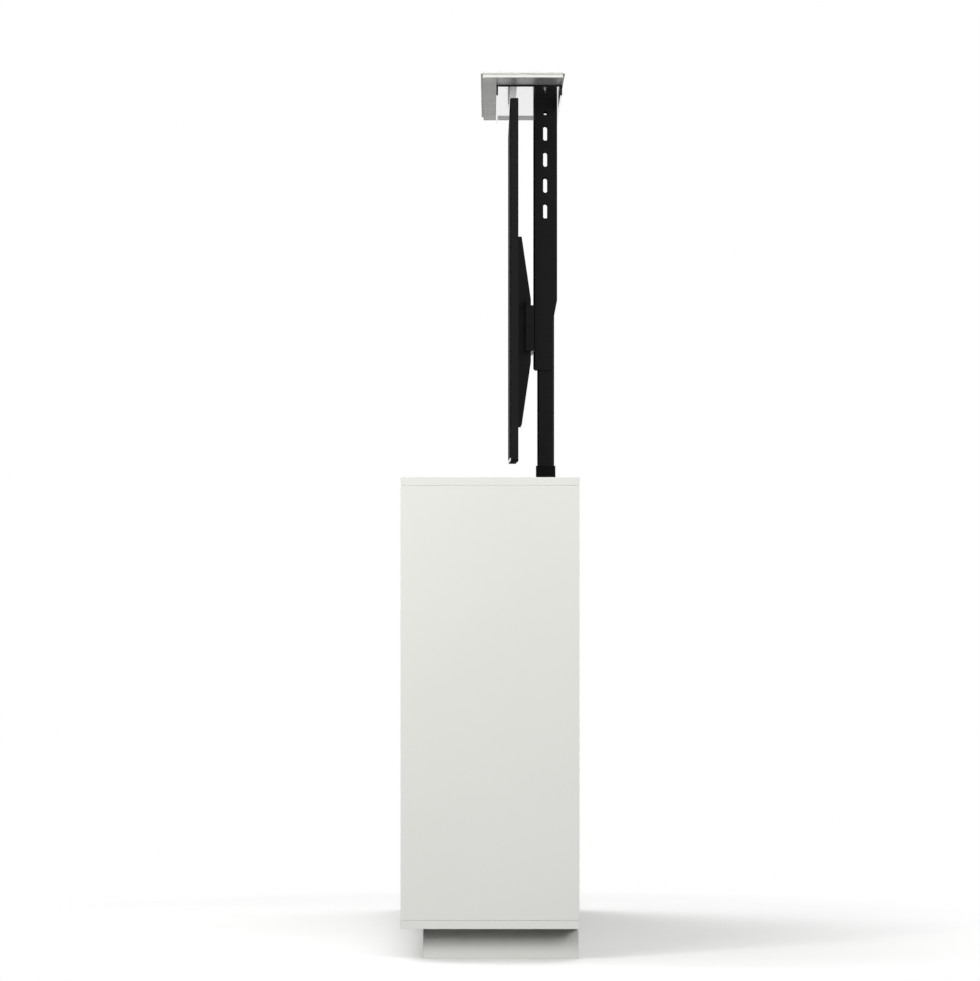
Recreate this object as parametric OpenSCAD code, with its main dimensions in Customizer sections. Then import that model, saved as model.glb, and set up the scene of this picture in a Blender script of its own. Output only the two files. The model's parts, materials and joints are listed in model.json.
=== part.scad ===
// Motorised telescopic TV lift in its cabinet, drawn raised, in millimetres.
// X runs along the cabinet, -Y is the front, +Y the back, +Z up; the floor is z = 0.

/* [Cabinet] */
// Length of the cabinet along X
cabinet_length = 1600; // [1400:5:2000]
// Depth of the cabinet along Y
cabinet_depth = 403; // [390:1:600]
// Height of the carcase above the plinth
carcase_height = 1017.5; // [1010:0.5:1200]
// Thickness of the carcase boards
board = 18.5; // [16:0.5:25]
// Height of the plinth
plinth_height = 71.5; // [50:0.5:120]
// Distance of the plinth behind the front edge
plinth_front_setback = 50.5; // [20:0.5:100]
// Distance of the plinth inside each end
plinth_end_setback = 50; // [20:1:120]
// Thickness of the back panel
back_panel_thickness = 8; // [5:0.5:12]
// Distance of the back panel inside the rear edges
back_panel_inset = 2; // [0.5:0.5:8]
// Outer diameter of the cable outlet in the back panel
outlet_diameter = 60; // [40:1:80]
// Clear bore of the cable outlet
outlet_bore = 50; // [30:1:70]
// Height of the cable outlet above the cabinet floor
outlet_height = 110; // [60:5:300]
// Distance of the cable outlet from the middle
outlet_offset = 320; // [150:5:600]

/* [Lid] */
// Distance from each end of the cabinet to the lid
lid_end_margin = 40; // [30:1:120]
// Depth of the lid cover
lid_depth = 190.5; // [188:0.5:210]
// Distance from the back of the cabinet to the lid
lid_back_margin = 32; // [20:0.5:32]
// Thickness of the lid cover sheet
cover_thickness = 4; // [2:0.5:8]
// Thickness of the lid core under the cover
core_thickness = 8; // [6:0.5:16]
// Overhang of the cover round the core
lid_overhang = 4.5; // [4:0.5:12]
// Gap between the lid core and the cut-out
lid_gap = 2; // [1:0.25:4]
// Gap between the lowered lid cover and the top panel
lid_seat_gap = 0.5; // [0.3:0.1:2]
// Length of the lid bracket
bracket_length = 1025; // [600:5:1200]
// Width of the lid bracket
bracket_width = 151.7; // [140:0.1:160]
// Height of the lid bracket flanges
bracket_flange = 24; // [18:0.5:35]
// Sheet thickness of the lid bracket
bracket_sheet = 4; // [2:0.25:4]
// Distance of the lid bracket inside the rear edge of the lid cover
bracket_inset = 3.3; // [3:0.1:8]

/* [Lift] */
// Travel of the middle stage
mid_travel = 404.8; // [340:0.4:430]
// Travel of the top stage on the middle stage
top_travel = 506; // [430:1:540]
// Distance from the back of the cabinet to the column axis
column_setback = 68.5; // [64:0.5:80]
// Depth of the inner tube along Y
inner_tube_depth = 40; // [40:0.5:44]
// Width of the inner tube along X
inner_tube_width = 80; // [70:1:90]
// Wall of the three tubes
tube_wall = 2; // [1.5:0.1:2.5]
// Gap between neighbouring tubes
stage_gap = 1; // [0.8:0.1:1.5]
// Running gap of the glides
glide_gap = 0.3; // [0.3:0.05:0.45]
// Overlap of the top stage in the middle stage when raised
stage_overlap = 72; // [70:1:110]
// Visible height of the middle collar
collar_height = 30; // [20:1:34]
// Height of the outer collar
outer_collar_height = 15; // [8:1:30]
// Height of the glides
glide_height = 26; // [15:1:32]
// Height of the spacers that carry the channel
spacer_height = 70; // [40:1:72]
// Clearance between the spacers and the lowered middle collar
spacer_clearance = 8; // [3:0.5:20]

/* [Lift channel] */
// Length of the channel below the mount rail
channel_tail = 41; // [20:0.5:80]
// Depth of the side walls of the channel
channel_depth = 56.3; // [54:0.1:60]
// Sheet thickness of the channel
channel_sheet = 2.5; // [2:0.1:3]
// Gap between the channel and the outer tube
channel_gap = 0.9; // [0.5:0.1:2]
// Width of the adjusting slots
slot_width = 10; // [6:0.5:14]
// Length of the adjusting slots
slot_length = 38; // [20:1:50]
// Distance between neighbouring slots
slot_pitch = 62; // [55:0.5:64]
// Distance from the channel top to the centre of the first slot
slot_drop = 77; // [70:0.5:85]
// Distance from the channel top to the round hole
hole_drop = 30; // [22:0.5:40]

/* [Drive] */
// Diameter of the drive spindle
drive_spindle_diameter = 16; // [12:0.5:17]
// Outer diameter of the hollow spindle
hollow_spindle_diameter = 28; // [25:0.5:30]
// Wall of the hollow spindle
hollow_spindle_wall = 5; // [3:0.25:5]
// Radial running gap of the spindles in their nuts and bearing
spindle_fit = 0.05; // [0.02:0.01:0.1]
// Thickness of the foot plate
foot_plate_thickness = 6; // [4:0.5:10]
// Length of the foot plate beyond each end of the belt housing
foot_plate_end = 34; // [30:1:60]
// Width of the foot plate in front of the belt housing
foot_plate_front = 22; // [16:1:60]
// Width of the foot plate behind the belt housing
foot_plate_rear = 18; // [16:0.5:20]
// Height of the belt housing
housing_height = 19; // [18:0.5:26]
// Half width of the belt housing
housing_radius = 34; // [32:0.5:36]
// Thickness of the belt housing cover
housing_cover = 4; // [3:0.5:8]
// Wall of the belt housing
housing_wall = 4; // [3:0.5:6]
// Pitch radius of the spindle pulley
spindle_pulley_radius = 20; // [17:0.5:24]
// Pitch radius of the motor pulley
motor_pulley_radius = 10; // [8:0.5:14]
// Distance between the spindle and the motor
motor_offset = 140; // [115:1:200]
// Diameter of the gear motor
motor_diameter = 46; // [36:1:60]
// Height of the motor above its gearbox
motor_height = 110; // [60:1:180]
// Height of the gearbox
gearbox_height = 60; // [40:1:90]

/* [Control box] */
// Distance from the column to the control box
box_offset = 260; // [150:5:400]
// Length of the control box
box_length = 160; // [120:1:240]
// Depth of the control box
box_depth = 80; // [60:1:100]
// Height of the control box base
box_height = 32; // [20:1:60]
// Thickness of the control box cover
box_cover = 12; // [6:0.5:20]

/* [Television and mount] */
// Gap between the television and each end of the cut-out
tv_end_gap = 32.5; // [8:0.5:80]
// Height of the television
tv_height = 822.5; // [760:0.5:860]
// Thickness of the television
tv_thickness = 19; // [14:0.1:30]
// Gap between the television and the lid bracket
tv_headroom = 20; // [6:0.5:40]
// Height of the mount centre above the television's lower edge
vesa_height = 308.5; // [290:0.5:340]
// Hole pattern of the television mount
vesa_pitch = 400; // [300:100:400]
// Length of the mount arms beyond the hole pattern at each end
arm_end = 22.2; // [16:0.1:40]
// Depth of the mount arms at mid length
arm_depth = 31.9; // [30:0.1:40]
// Depth of the mount arms at their ends
arm_end_depth = 10.3; // [8:0.1:14]
// Gap between the mount arms and the lift channel
arm_gap = 7.3; // [5:0.1:10]
// Width of the mount arms
arm_width = 32; // [28:0.5:45]
// Sheet thickness of the mount arms and the mount rail
mount_sheet = 2.5; // [2:0.1:3]
// Half length of the mount rail beyond the arm centres
rail_overhang = 40; // [25:1:80]
// Height of the mount rail
rail_height = 107; // [100:1:125]
// Depth of the mount rail
rail_depth = 19.6; // [17:0.1:22]
// Height of the rail lip that the arms hook over
rail_lip = 10; // [6:0.5:14]

/* [Hidden] */
$fn = 64;
// Small overlap that lets a cut run clear of a face
cut = 1;

// Fasteners
screw_clearance = 0.2;
screw_radius = 4;
screw_hole = screw_radius + screw_clearance;
screw_head_radius = 7;
screw_head_height = 4;
small_screw = 2.5;
small_hole = small_screw + screw_clearance;
small_head_radius = 4.5;
small_head_height = 2.5;

// Cabinet planes
floor_z = plinth_height + board;
top_z = plinth_height + carcase_height;
top_under_z = top_z - board;
half_length = cabinet_length / 2;
inner_half = half_length - board;
back_y = cabinet_depth / 2;
front_y = -back_y;
plinth_front_y = front_y + plinth_front_setback;
plinth_rear_setback = 1.5;
plinth_rear_y = back_y - plinth_rear_setback;
plinth_half = half_length - plinth_end_setback;
joint_groove = 1;
panel_rear_y = back_y - back_panel_inset;
panel_front_y = panel_rear_y - back_panel_thickness;
rail_board_front_y = panel_front_y - board;
panel_screw_length = 20;
panel_screw_end = 60;
outlet_z = floor_z + outlet_height;
grommet_flange = 5;
grommet_lip = 3;

// Lid and its bracket
travel = mid_travel + top_travel;
lid_length = cabinet_length - 2 * lid_end_margin;
lid_rear_y = back_y - lid_back_margin;
lid_front_y = lid_rear_y - lid_depth;
core_half = lid_length / 2 - lid_overhang;
core_rear_y = lid_rear_y - lid_overhang;
core_front_y = lid_front_y + lid_overhang;
cover_under_z = top_z + lid_seat_gap + travel;
core_under_z = cover_under_z - core_thickness;
bracket_under_z = core_under_z - bracket_sheet;
bracket_low_z = core_under_z - bracket_flange;
bracket_rear_y = lid_rear_y - bracket_inset;
bracket_front_y = bracket_rear_y - bracket_width;
bracket_screw_inset = 25;
bracket_screw_y = [bracket_front_y + bracket_screw_inset, bracket_rear_y - bracket_screw_inset];
bracket_screw_end = 60;
bracket_screw_reach = bracket_length / 2 - bracket_screw_end;
bracket_screw_x = [for (share = [-1, -0.5, 0.5, 1]) share * bracket_screw_reach];

// Tubes, nested about the column axis
column_y = back_y - column_setback;
mid_depth = inner_tube_depth + 2 * (stage_gap + tube_wall);
mid_width = inner_tube_width + 2 * (stage_gap + tube_wall);
outer_depth = mid_depth + 2 * (stage_gap + tube_wall);
outer_width = mid_width + 2 * (stage_gap + tube_wall);
tube_radius = 4;
stop_gap = 2;
plug_thickness = 12;
housing_z = floor_z + foot_plate_thickness;
cover_z = housing_z + housing_height;
column_z = cover_z + housing_cover;
mid_foot_z = column_z + stop_gap + mid_travel;
inner_foot_z = column_z + 2 * stop_gap + plug_thickness + travel;
mid_top_z = inner_foot_z + stage_overlap;
mid_tube_top_z = mid_top_z - collar_height;
outer_collar_drop = 25;
outer_top_z = mid_top_z - mid_travel - outer_collar_drop;
outer_tube_top_z = outer_top_z - outer_collar_height;
collar_skirt = 12;
outer_skirt = 40;
spacer_low_z = mid_top_z + top_travel + spacer_clearance;
spacer_top_z = spacer_low_z + spacer_height;
spacer_half = 12;
tube_head = 3;
tube_top_z = spacer_top_z + tube_head;
cap_thickness = 3;
cap_plug = 12;

// Lift channel
channel_half = outer_width / 2 + channel_gap + channel_sheet;
channel_front_y = column_y - outer_depth / 2 - channel_gap - channel_sheet;
channel_web_y = channel_front_y + channel_sheet;
channel_rear_y = channel_front_y + channel_depth;
channel_top_z = bracket_under_z;
channel_bend = 4;
channel_corner = 6;
channel_taper_inset = 13;
channel_taper_low = 98.7;
channel_taper_top = 166;
slot_y = (channel_front_y + channel_rear_y) / 2;
tab_reach = 24;
tab_length = 36;
tab_screw_inset = 8;
tab_screw_y = 10;

// Spindles
drive_radius = drive_spindle_diameter / 2;
hollow_radius = hollow_spindle_diameter / 2;
hollow_bore = hollow_radius - hollow_spindle_wall;
nut_radius = 15;
nut_length = 20;
thrust_thickness = 6;
sleeve_gap = 0.3;
sleeve_length = 12;
drive_nut_z = mid_foot_z + plug_thickness;
thrust_z = drive_nut_z + nut_length;
sleeve_z = thrust_z + thrust_thickness + sleeve_gap;
sleeve_top_z = sleeve_z + sleeve_length;
inner_plug_z = sleeve_top_z + stop_gap + top_travel;
inner_plug_thickness = 10;
top_nut_z = inner_plug_z + inner_plug_thickness;
top_nut_radius = 17;
top_nut_length = 22;
spindle_end = 5;
hollow_top_z = top_nut_z + top_nut_length + spindle_end;
drive_top_z = sleeve_top_z + spindle_end;

// Belt housing
housing_floor = 3;
housing_left_x = -30;
bearing_z = housing_z + housing_floor;
bearing_height = 4;
bearing_ring = 7;
pulley_gap = 0.5;
pulley_headroom = 1.5;
pulley_z = bearing_z + bearing_height + pulley_gap;
pulley_height = cover_z - pulley_z - pulley_headroom;
pulley_flange = 1;
pulley_flange_rim = 3;
belt_gap = 0.3;
belt_thickness = 2;
motor_shaft_radius = 4;
motor_shaft_depth = 10;
gearbox_flange = 6;
motor_cap = 10;
motor_boss = 4;
motor_step = 2;
bore_gap = 0.6;
flange_thickness = 4;
flange_width = 16;
flange_corner = 5;
flange_half = outer_width / 2 + flange_width;
flange_bolt_x = outer_width / 2 + flange_width / 2;
flange_bolt_inset = 10;
flange_bolt_y = housing_radius - flange_bolt_inset;
flange_bolt_radius = 3;
flange_bolt_hole = flange_bolt_radius + screw_clearance;
flange_bolt_head = 5;
foot_plate_left_x = housing_left_x - housing_radius - foot_plate_end;
foot_plate_right_x = motor_offset + housing_radius + foot_plate_end;
foot_plate_front_y = column_y - housing_radius - foot_plate_front;
foot_plate_rear_y = column_y + housing_radius + foot_plate_rear;
foot_plate_corner = 8;
foot_bolt_inset = 15;
foot_bolt_depth = 14;
foot_bolt_head = 6;

// Column bracket on the rear board
rear_board_height = 100;
rear_board_drop = 35;
rear_board_top_z = outer_tube_top_z - rear_board_drop;
rear_board_z = rear_board_top_z - rear_board_height;
clamp_sheet = 3;
clamp_half = 40;
clamp_ear = 24;
clamp_height = 60;
clamp_z = rear_board_z + (rear_board_height - clamp_height) / 2;
clamp_screw_inset = 15;
clamp_screw_depth = 12;
column_rear_y = column_y + outer_depth / 2;

// Control box
box_left_x = -box_offset - box_length;
box_front_y = foot_plate_rear_y - box_depth;
box_wall = 3;
box_corner = 6;
box_slots = 6;
box_slot_width = 5;
box_slot_end = 20;
box_slot_depth = 2;
box_slot_pitch = box_length / (box_slots + 6);

// Television and mount
tv_top_z = bracket_low_z - tv_headroom;
tv_low_z = tv_top_z - tv_height;
tv_back_y = channel_front_y - arm_gap - arm_depth;
tv_front_y = tv_back_y - tv_thickness;
screen_thickness = 1.9;
tv_face_y = tv_front_y + screen_thickness;
tv_half = core_half + lid_gap - tv_end_gap;
tv_corner = 6;
screen_margin = 1.2;
trim_height = 7;
vesa_z = tv_low_z + vesa_height;
arm_x = vesa_pitch / 2;
arm_half_length = vesa_pitch / 2 + arm_end;
arm_slot_half = 14;
arm_low_flat = 72;
arm_high_flat = 74.5;
arm_rear_y = tv_back_y + arm_depth;
rail_rise = 6.5;
rail_centre_z = vesa_z + rail_rise;
rail_low_z = rail_centre_z - rail_height / 2;
rail_top_z = rail_centre_z + rail_height / 2;
rail_front_y = channel_front_y - rail_depth;
channel_low_z = rail_low_z - channel_tail;
rail_half = arm_x + rail_overhang;
rail_low_lip = 10;
rail_web_y = channel_front_y - mount_sheet;
hook_gap = 0.5;
rail_screw_x = 30;
rail_screw_half = 26;
rail_screw_z = [rail_centre_z - rail_screw_half, rail_centre_z + rail_screw_half];
rail_slot_pitch = 80;
rail_slot_half = 25;
rail_slot_radius = 5;
vesa_screw_depth = 8;
vesa_screw_gap = 0.5;
end_cap_thickness = 3;
latch_angle = 25;
latch_width = 3;
latch_length = 24;

// Television rear: seam, vents, sockets and cover screws
seam_inset = 16;
seam_width = 1;
seam_depth = 1;
vent_pitch = 14;
vent_width = 4;
vent_height = 34;
vent_depth = 2;
vent_count = floor(0.6 * tv_half / vent_pitch);
vent_z = tv_top_z - 3 * vent_height;
port_length = 180;
port_height = 46;
port_depth = 8;
port_corner = 5;
port_plate = 3;
port_x = arm_x + rail_overhang + port_height;
port_z = tv_low_z + port_length / 2;
socket_count = 6;
socket_width = 15;
socket_height = 6;
socket_depth = 2;
cover_screw_inset = 32;
cover_screw_radius = 1.5;
cover_screw_length = 6;
cover_screw_pocket = 3;
cover_head_radius = 3;
cover_head_height = 2;

// Lid screws
lid_screw_gap = 0.5;
lid_screw_seat_z = cover_under_z - small_head_height - lid_screw_gap;
lid_screw_length = lid_screw_seat_z - bracket_under_z - lid_screw_gap;
tab_screw_reach = bracket_sheet + core_thickness - 4 * lid_screw_gap;

// Colours
white = [0.92, 0.92, 0.90];
black = [0.13, 0.13, 0.14];
dark_plastic = [0.09, 0.09, 0.10];
steel = [0.62, 0.63, 0.65];
zinc = [0.74, 0.75, 0.77];
aluminium = [0.70, 0.71, 0.73];
brass_colour = [0.72, 0.60, 0.28];
board_colour = [0.80, 0.70, 0.54];
screen_colour = [0.04, 0.04, 0.05];

// Box from one corner to the other
module block(low, high) {
    translate(low) cube(high - low);
}

// Section drawn in Y and Z, drawn out along X
module along_x(x_from, x_to) {
    translate([x_from, 0, 0]) rotate([90, 0, 90]) linear_extrude(x_to - x_from) children();
}

// Section drawn in X and Z, drawn out along Y
module along_y(y_from, y_to) {
    translate([0, y_to, 0]) rotate([90, 0, 0]) linear_extrude(y_to - y_from) children();
}

// Section drawn in X and Y, drawn out along Z
module along_z(z_from, z_to) {
    translate([0, 0, z_from]) linear_extrude(z_to - z_from) children();
}

module rectangle(low, high) {
    translate(low) square(high - low);
}

module rounded_rectangle(low, high, radius) {
    rectangle([low[0] + radius, low[1]], [high[0] - radius, high[1]]);
    rectangle([low[0], low[1] + radius], [high[0], high[1] - radius]);
    for (x = [low[0] + radius, high[0] - radius], y = [low[1] + radius, high[1] - radius])
        translate([x, y]) circle(radius);
}

// Round-ended slot along the first axis
module slot_section(half, radius) {
    rectangle([radius - half, -radius], [half - radius, radius]);
    for (end = [radius - half, half - radius])
        translate([end, 0]) circle(radius);
}

// Section of a tube stage about the column axis
module column_section(width, depth, radius) {
    translate([0, column_y])
        rounded_rectangle([-width / 2, -depth / 2], [width / 2, depth / 2], radius);
}

module column_ring(width, depth, wall, radius) {
    difference() {
        column_section(width, depth, radius);
        column_section(width - 2 * wall, depth - 2 * wall, max(radius - wall, 0.5));
    }
}

// Loop round the two pulleys, as a solid section
module belt_section(extra) {
    translate([0, column_y]) hull() {
        circle(spindle_pulley_radius + extra);
        translate([motor_offset, 0]) circle(motor_pulley_radius + extra);
    }
}

module housing_section(radius) {
    translate([0, column_y]) {
        translate([housing_left_x, 0]) circle(radius);
        translate([motor_offset, 0]) circle(radius);
        rectangle([housing_left_x, -radius], [motor_offset, radius]);
    }
}

// Socket-head screw along Z with its head below the seat
module screw_up(shank_radius, shank_length, head_radius, head_height) {
    cylinder(h = shank_length, r = shank_radius);
    translate([0, 0, -head_height]) difference() {
        cylinder(h = head_height, r = head_radius);
        translate([0, 0, -cut]) cylinder(h = cut + head_height / 2, r = head_radius / 2, $fn = 6);
    }
}

// The same screw with its head above the seat
module screw_down(shank_radius, shank_length, head_radius, head_height) {
    mirror([0, 0, 1]) screw_up(shank_radius, shank_length, head_radius, head_height);
}

module plinth_front() {
    color(white) block(
        [-plinth_half + board, plinth_front_y, 0],
        [plinth_half - board, plinth_front_y + board, plinth_height]
    );
}

module plinth_rear() {
    color(white) block(
        [-plinth_half + board, plinth_rear_y - board, 0],
        [plinth_half - board, plinth_rear_y, plinth_height]
    );
}

module plinth_ends() {
    color(white) {
        for (x = [-plinth_half, plinth_half - board])
            block([x, plinth_front_y, 0], [x + board, plinth_rear_y, plinth_height]);
    }
}

module bottom_panel() {
    color(white) difference() {
        block([-half_length, front_y, plinth_height], [half_length, back_y, floor_z]);
        foot_bolt_places() translate([0, 0, -foot_bolt_depth - cut])
            cylinder(h = foot_bolt_depth + 2 * cut, r = screw_hole);
    }
}

// Side panel with a fine shadow groove outside where it meets the top and the bottom
module side_panel(x_from, outer_x) {
    color(white) difference() {
        block([x_from, front_y, floor_z], [x_from + board, back_y, top_under_z]);
        for (z = [floor_z, top_under_z])
            block(
                [outer_x - joint_groove, front_y - cut, z - joint_groove],
                [outer_x + joint_groove, back_y + cut, z + joint_groove]
            );
    }
}

module side_panel_left() {
    side_panel(-half_length, -half_length);
}

module side_panel_right() {
    side_panel(inner_half, half_length);
}

module top_panel() {
    color(white) difference() {
        block([-half_length, front_y, top_under_z], [half_length, back_y, top_z]);
        block(
            [-core_half - lid_gap, core_front_y - lid_gap, top_under_z - cut],
            [core_half + lid_gap, max(core_rear_y, bracket_rear_y) + lid_gap, top_z + cut]
        );
    }
}

module front_panel() {
    color(white) block([-inner_half, front_y, floor_z], [inner_half, front_y + board, top_under_z]);
}

module back_panel() {
    color(white) difference() {
        block([-inner_half, panel_front_y, floor_z], [inner_half, panel_rear_y, top_under_z]);
        along_y(panel_front_y - cut, panel_rear_y + cut)
            translate([outlet_offset, outlet_z]) circle(outlet_diameter / 2);
        panel_screw_places() {
            cylinder(h = back_panel_thickness + cut, r = small_hole);
            translate([0, 0, -small_head_height - cut])
                cylinder(h = small_head_height + cut, r = small_head_radius + screw_clearance);
        }
    }
}

// Places of the screws through the back panel into the rear board, at their head seats
module panel_screw_places() {
    reach = inner_half - panel_screw_end;
    for (share = [-1, -0.5, 0.5, 1])
        translate([share * reach, panel_rear_y - small_head_height, rear_board_z + rear_board_height / 2])
            rotate([90, 0, 0]) children();
}

module back_panel_screws() {
    color(zinc) panel_screw_places()
        screw_up(small_screw, panel_screw_length, small_head_radius, small_head_height);
}

module cable_grommet() {
    color(dark_plastic) difference() {
        union() {
            along_y(panel_front_y, panel_rear_y)
                translate([outlet_offset, outlet_z]) circle(outlet_diameter / 2);
            along_y(panel_front_y - grommet_lip, panel_front_y)
                translate([outlet_offset, outlet_z]) circle(outlet_diameter / 2 + grommet_flange);
        }
        along_y(panel_front_y - grommet_lip - cut, panel_rear_y + cut)
            translate([outlet_offset, outlet_z]) circle(outlet_bore / 2);
    }
}

module rear_board() {
    color(board_colour) difference() {
        block(
            [-inner_half, rail_board_front_y, rear_board_z],
            [inner_half, panel_front_y, rear_board_top_z]
        );
        clamp_screw_places() translate([0, 0, -cut])
            cylinder(h = clamp_screw_depth + 2 * cut, r = small_hole);
        panel_screw_places() cylinder(h = panel_screw_length + cut, r = small_hole);
    }
}

// Places of the four foot bolts, at the foot plate's underside
module foot_bolt_places() {
    for (x = [foot_plate_left_x + foot_bolt_inset, foot_plate_right_x - foot_bolt_inset])
        for (y = [foot_plate_front_y + foot_bolt_inset, foot_plate_rear_y - foot_bolt_inset])
            translate([x, y, floor_z]) children();
}

module foot_plate() {
    color(black) difference() {
        along_z(floor_z, housing_z) rounded_rectangle(
            [foot_plate_left_x, foot_plate_front_y],
            [foot_plate_right_x, foot_plate_rear_y],
            foot_plate_corner
        );
        foot_bolt_places() translate([0, 0, -cut])
            cylinder(h = foot_plate_thickness + 2 * cut, r = screw_hole);
    }
}

module foot_bolts() {
    color(zinc) foot_bolt_places() translate([0, 0, foot_plate_thickness])
        screw_down(screw_radius, foot_plate_thickness + foot_bolt_depth, screw_head_radius, foot_bolt_head);
}

module drive_housing() {
    color(aluminium) difference() {
        along_z(housing_z, cover_z) housing_section(housing_radius);
        along_z(bearing_z, cover_z + cut) housing_section(housing_radius - housing_wall);
    }
}

module drive_housing_cover() {
    color(aluminium) difference() {
        along_z(cover_z, column_z) housing_section(housing_radius);
        translate([0, column_y, cover_z - cut])
            cylinder(h = housing_cover + 2 * cut, r = drive_radius + bore_gap);
        translate([motor_offset, column_y, cover_z - cut])
            cylinder(h = housing_cover + 2 * cut, r = motor_shaft_radius + bore_gap);
        flange_bolt_places() translate([0, 0, -housing_cover])
            cylinder(h = housing_cover + cut, r = flange_bolt_hole);
    }
}

module spindle_bearing() {
    color(steel) translate([0, column_y, bearing_z]) difference() {
        cylinder(h = bearing_height, r = drive_radius + bearing_ring);
        translate([0, 0, -cut]) cylinder(h = bearing_height + 2 * cut, r = drive_radius + spindle_fit);
    }
}

// Places of the four bolts through the outer tube's flange, at the cover's top
module flange_bolt_places() {
    for (x = [-flange_bolt_x, flange_bolt_x], y = [-flange_bolt_y, flange_bolt_y])
        translate([x, column_y + y, column_z]) children();
}

module outer_tube() {
    color(black) difference() {
        union() {
            along_z(column_z, outer_tube_top_z) column_section(outer_width, outer_depth, tube_radius);
            along_z(column_z, column_z + flange_thickness) translate([0, column_y]) rounded_rectangle(
                [-flange_half, -housing_radius],
                [flange_half, housing_radius],
                flange_corner
            );
        }
        along_z(column_z - cut, outer_tube_top_z + cut) column_section(
            outer_width - 2 * tube_wall,
            outer_depth - 2 * tube_wall,
            tube_radius - tube_wall
        );
        flange_bolt_places() translate([0, 0, -cut])
            cylinder(h = flange_thickness + 2 * cut, r = flange_bolt_hole);
    }
}

module flange_bolts() {
    shank = flange_thickness + housing_cover;
    color(zinc) flange_bolt_places() translate([0, 0, flange_thickness])
        screw_down(flange_bolt_radius, shank, flange_bolt_head, screw_head_height);
}

module outer_collar() {
    slide_width = mid_width + 2 * glide_gap;
    slide_depth = mid_depth + 2 * glide_gap;
    color(dark_plastic) difference() {
        union() {
            along_z(outer_tube_top_z, outer_top_z) column_section(outer_width, outer_depth, tube_radius);
            along_z(outer_tube_top_z - outer_skirt, outer_tube_top_z) column_section(
                outer_width - 2 * tube_wall,
                outer_depth - 2 * tube_wall,
                tube_radius - tube_wall
            );
        }
        along_z(outer_tube_top_z - outer_skirt - cut, outer_top_z + cut)
            column_section(slide_width, slide_depth, tube_radius);
    }
}

// Places of the four screws that hold the column bracket, pointing into the rear board
module clamp_screw_places() {
    reach = clamp_half + clamp_ear / 2;
    for (x = [-reach, reach], z = [clamp_screw_inset, clamp_height - clamp_screw_inset])
        translate([x, rail_board_front_y, clamp_z + z]) rotate([-90, 0, 0]) children();
}

module column_clamp() {
    color(black) difference() {
        along_z(clamp_z, clamp_z + clamp_height) {
            rectangle([-clamp_half, column_rear_y], [clamp_half, column_rear_y + clamp_sheet]);
            for (x = [-clamp_half, clamp_half - clamp_sheet])
                rectangle([x, column_rear_y], [x + clamp_sheet, rail_board_front_y]);
            for (x = [-clamp_half - clamp_ear, clamp_half - clamp_sheet])
                rectangle(
                    [x, rail_board_front_y - clamp_sheet],
                    [x + clamp_ear + clamp_sheet, rail_board_front_y]
                );
        }
        clamp_screw_places() translate([0, 0, -clamp_sheet - cut])
            cylinder(h = clamp_sheet + 2 * cut, r = small_hole);
    }
}

module clamp_screws() {
    color(zinc) clamp_screw_places() translate([0, 0, -clamp_sheet])
        screw_up(small_screw, clamp_sheet + clamp_screw_depth, small_head_radius, small_head_height);
}

module gearbox() {
    radius = housing_radius - gearbox_flange;
    color(aluminium) translate([motor_offset, column_y, column_z]) difference() {
        union() {
            cylinder(h = gearbox_flange, r = radius);
            cylinder(h = gearbox_height, r = radius - gearbox_flange / 2);
            translate([0, 0, gearbox_height - gearbox_flange]) cylinder(h = gearbox_flange, r = radius);
        }
        translate([0, 0, -cut]) cylinder(h = motor_shaft_depth + cut, r = motor_shaft_radius + spindle_fit);
    }
}

module gear_motor() {
    color(steel) translate([motor_offset, column_y, column_z + gearbox_height]) {
        cylinder(h = motor_height - motor_cap - motor_boss, r = motor_diameter / 2);
        cylinder(h = motor_height - motor_boss, r = motor_diameter / 2 - motor_step);
        cylinder(h = motor_height, r = motor_diameter / 4);
    }
}

module drive_belt() {
    edge = pulley_flange + belt_gap;
    color(dark_plastic) along_z(pulley_z + edge, pulley_z + pulley_height - edge) difference() {
        belt_section(belt_gap + belt_thickness);
        belt_section(belt_gap);
    }
}

module control_box() {
    color(dark_plastic) difference() {
        along_z(floor_z, floor_z + box_height) rounded_rectangle(
            [box_left_x, box_front_y],
            [box_left_x + box_length, box_front_y + box_depth],
            box_corner
        );
        along_z(floor_z + box_wall, floor_z + box_height + cut) rounded_rectangle(
            [box_left_x + box_wall, box_front_y + box_wall],
            [box_left_x + box_length - box_wall, box_front_y + box_depth - box_wall],
            box_corner - box_wall
        );
    }
}

module control_box_cover() {
    low = floor_z + box_height;
    top = low + box_cover;
    first_slot_x = box_left_x + (box_length - (box_slots - 1) * box_slot_pitch - box_slot_width) / 2;
    color(dark_plastic) difference() {
        along_z(low, top) rounded_rectangle(
            [box_left_x, box_front_y],
            [box_left_x + box_length, box_front_y + box_depth],
            box_corner
        );
        for (i = [0:box_slots - 1])
            along_z(top - box_slot_depth, top + cut)
                translate([first_slot_x + box_slot_pitch * i, box_front_y + box_slot_end])
                    rectangle([0, 0], [box_slot_width, box_depth - 2 * box_slot_end]);
    }
}

// Tube foot plug with a bore for a spindle
module foot_plug(z_from, thickness, width, depth, bore) {
    along_z(z_from, z_from + thickness) difference() {
        column_section(width, depth, tube_radius - tube_wall);
        translate([0, column_y]) circle(bore);
    }
}

module spindle_ring(z_from, height, radius, bore) {
    translate([0, column_y, z_from]) difference() {
        cylinder(h = height, r = radius);
        translate([0, 0, -cut]) cylinder(h = height + 2 * cut, r = bore);
    }
}

module middle_tube() {
    color(black) along_z(mid_foot_z, mid_tube_top_z)
        column_ring(mid_width, mid_depth, tube_wall, tube_radius);
}

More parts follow.
